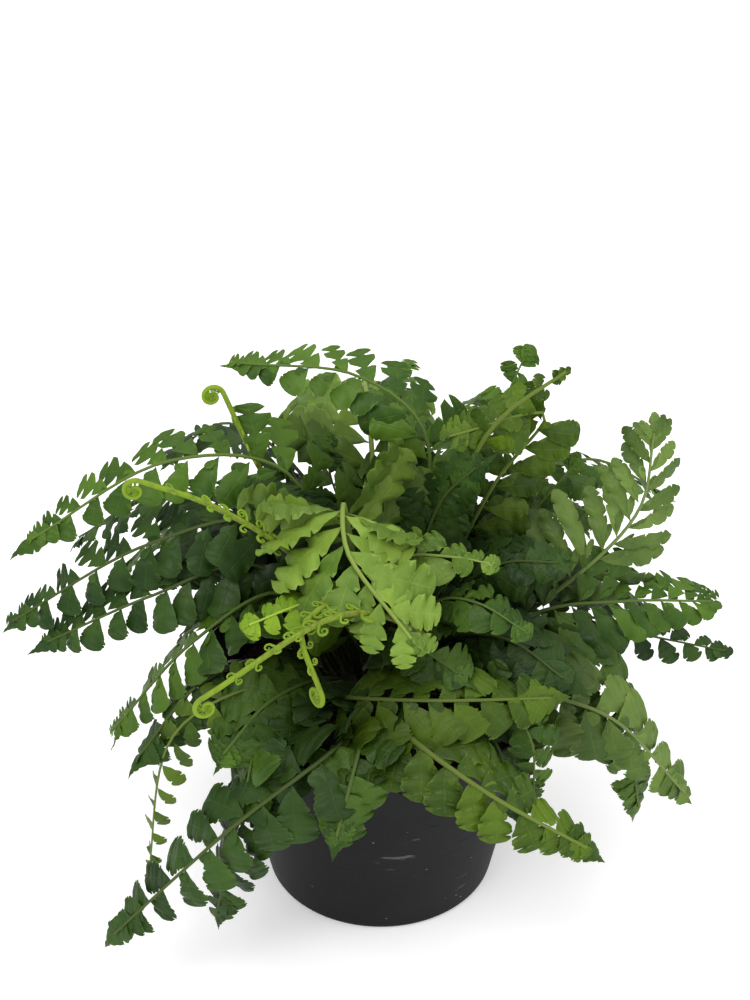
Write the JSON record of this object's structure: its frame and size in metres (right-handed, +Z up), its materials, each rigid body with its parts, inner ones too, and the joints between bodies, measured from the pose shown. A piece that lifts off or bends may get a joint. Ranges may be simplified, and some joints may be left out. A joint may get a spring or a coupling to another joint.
{
  "type": "potted fern",
  "caption": "Bushy fern with arching fronds of scalloped leaflets and coiled young shoots, growing in a round tapered plastic nursery pot with a rolled collar.",
  "frame": {"origin": "middle of the pot's flat underside, on the pot's axis", "axes": "+Z up along the pot's axis, -Y towards the viewer's side, where the spilling fronds hang, +X to that viewer's right"},
  "size_m": [0.2543, 0.2125, 0.2067],
  "materials": {
    "pot_plastic": "matt moulded polypropylene with fine scuffs",
    "potting_mix": "moist crumbly peat and bark",
    "rhizome": "scaly brown rhizome",
    "crozier": "smooth yellow-green young shoot",
    "leaf_lime": "soft young leaf",
    "leaf_fresh": "satin leaf",
    "leaf_bright": "satin leaf",
    "leaf_mid": "satin leaf",
    "leaf_dark": "satin leaf",
    "leaf_grey": "satin leaf, greyish green"
  },
  "bodies": {
    "root": {"pot": "pot_plastic", "soil": "potting_mix", "crown": "rhizome", "long_crozier": "crozier", "hook_crozier": "crozier", "left_crozier": "crozier", "upper_crozier": "crozier", "hero_frond": "leaf_fresh", "front_cross_frond": "leaf_bright", "front_spill_frond": "leaf_bright", "right_plume_frond": "leaf_grey", "right_mid_frond": "leaf_mid", "right_low_frond": "leaf_grey", "left_high_frond": "leaf_mid", "left_long_frond": "leaf_dark", "left_mid_frond": "leaf_dark", "left_low_frond": "leaf_mid", "top_left_frond": "leaf_mid", "top_right_frond": "leaf_mid", "bright_top_frond": "leaf_bright", "tall_stalk_frond": "leaf_bright", "big_hanging_frond": "leaf_dark", "dark_hanging_frond": "leaf_dark", "thin_hanging_frond": "leaf_bright", "right_drip_frond": "leaf_mid", "right_far_frond": "leaf_dark", "young_tuft_frond": "leaf_lime", "front_mid_frond": "leaf_fresh", "front_leaf_frond": "leaf_mid", "left_round_frond": "leaf_dark", "small_upright_frond": "leaf_mid", "mid_right_frond": "leaf_mid", "right_inner_frond": "leaf_dark", "front_right_frond": "leaf_dark", "front_left_frond": "leaf_mid", "left_front_frond": "leaf_dark", "upper_left_frond": "leaf_dark", "upper_right_frond": "leaf_dark", "rim_left_frond": "leaf_mid", "rim_front_frond": "leaf_mid", "rim_right_frond": "leaf_dark", "centre_frond": "leaf_mid", "right_hanging_frond": "leaf_mid", "back_right_frond": "leaf_mid", "back_right_low_frond": "leaf_dark", "back_corner_frond": "leaf_mid", "back_tall_right_frond": "leaf_mid", "back_low_frond": "leaf_dark", "back_arch_frond": "leaf_fresh", "back_left_low_frond": "leaf_mid", "back_left_frond": "leaf_dark", "left_back_low_frond": "leaf_mid", "left_back_frond": "leaf_dark", "back_upright_frond": "leaf_mid", "back_hanging_frond": "leaf_dark", "back_left_hanging_frond": "leaf_mid"}
  },
  "joints": []
}
